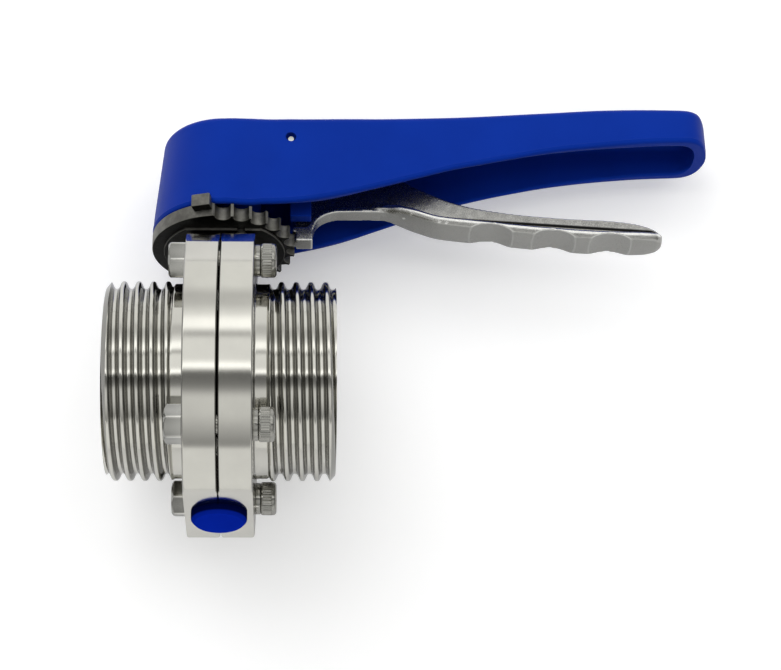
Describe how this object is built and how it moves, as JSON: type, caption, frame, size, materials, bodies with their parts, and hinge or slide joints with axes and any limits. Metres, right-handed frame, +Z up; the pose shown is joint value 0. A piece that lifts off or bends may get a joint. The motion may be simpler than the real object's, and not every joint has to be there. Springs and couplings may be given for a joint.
{
  "type": "butterfly valve",
  "caption": "Sanitary butterfly valve with round male threads on both ends and a blue lever handle whose squeeze trigger locks into a toothed index plate.",
  "frame": {"origin": "where the stem's axis crosses the pipe's centre line, midway between the two end faces", "axes": "+X along the pipe and along the open handle, +Z up the stem towards the handle, +Y completes a right-handed frame"},
  "size_m": [0.1794, 0.0904, 0.1331],
  "materials": {
    "polished_steel": "machined and polished stainless steel with fine turning marks",
    "cast_steel": "investment-cast stainless steel, satin with a slight grain",
    "fastener_steel": "bright stainless steel",
    "handle_blue": "satin moulded plastic",
    "cap_blue": "satin moulded plastic",
    "seat_rubber": "black elastomer",
    "bush_polymer": "natural bearing polymer"
  },
  "bodies": {
    "body": {"body_half_left": "polished_steel", "body_half_right": "polished_steel", "seat_ring": "seat_rubber", "lower_bush": "bush_polymer", "upper_bush": "bush_polymer", "stem_seal": "seat_rubber", "bottom_cap": "cap_blue", "index_plate": "cast_steel", "plate_screw_1": "fastener_steel", "plate_screw_2": "fastener_steel", "washer_1": "fastener_steel", "washer_2": "fastener_steel", "washer_3": "fastener_steel", "washer_4": "fastener_steel", "cap_screw_1": "fastener_steel", "cap_screw_2": "fastener_steel", "cap_screw_3": "fastener_steel", "cap_screw_4": "fastener_steel", "hex_nut_1": "fastener_steel", "hex_nut_2": "fastener_steel", "hex_nut_3": "fastener_steel", "hex_nut_4": "fastener_steel"},
    "handle": {"handle_shell": "handle_blue", "hub_insert": "fastener_steel", "handle_washer": "fastener_steel", "handle_screw": "fastener_steel", "top_plug": "handle_blue", "pivot_pin": "fastener_steel", "return_spring": "fastener_steel", "disc_and_stem": "polished_steel"},
    "trigger": {"trigger_lever": "cast_steel"}
  },
  "joints": [
    {"name": "handle_turn", "type": "hinge", "parent": "body", "child": "handle", "pos_m": [0, 0, 0], "axis": [0, 0, 1], "range_deg": [-90, 90]},
    {"name": "trigger_squeeze", "type": "hinge", "parent": "handle", "child": "trigger", "pos_m": [0.01966, 0, 0.0739], "axis": [0, -1, 0], "range_deg": [0, 10], "stiffness_Nm_per_rad": 1.5, "springref_deg": -6.88, "deforming": ["return_spring"]}
  ]
}
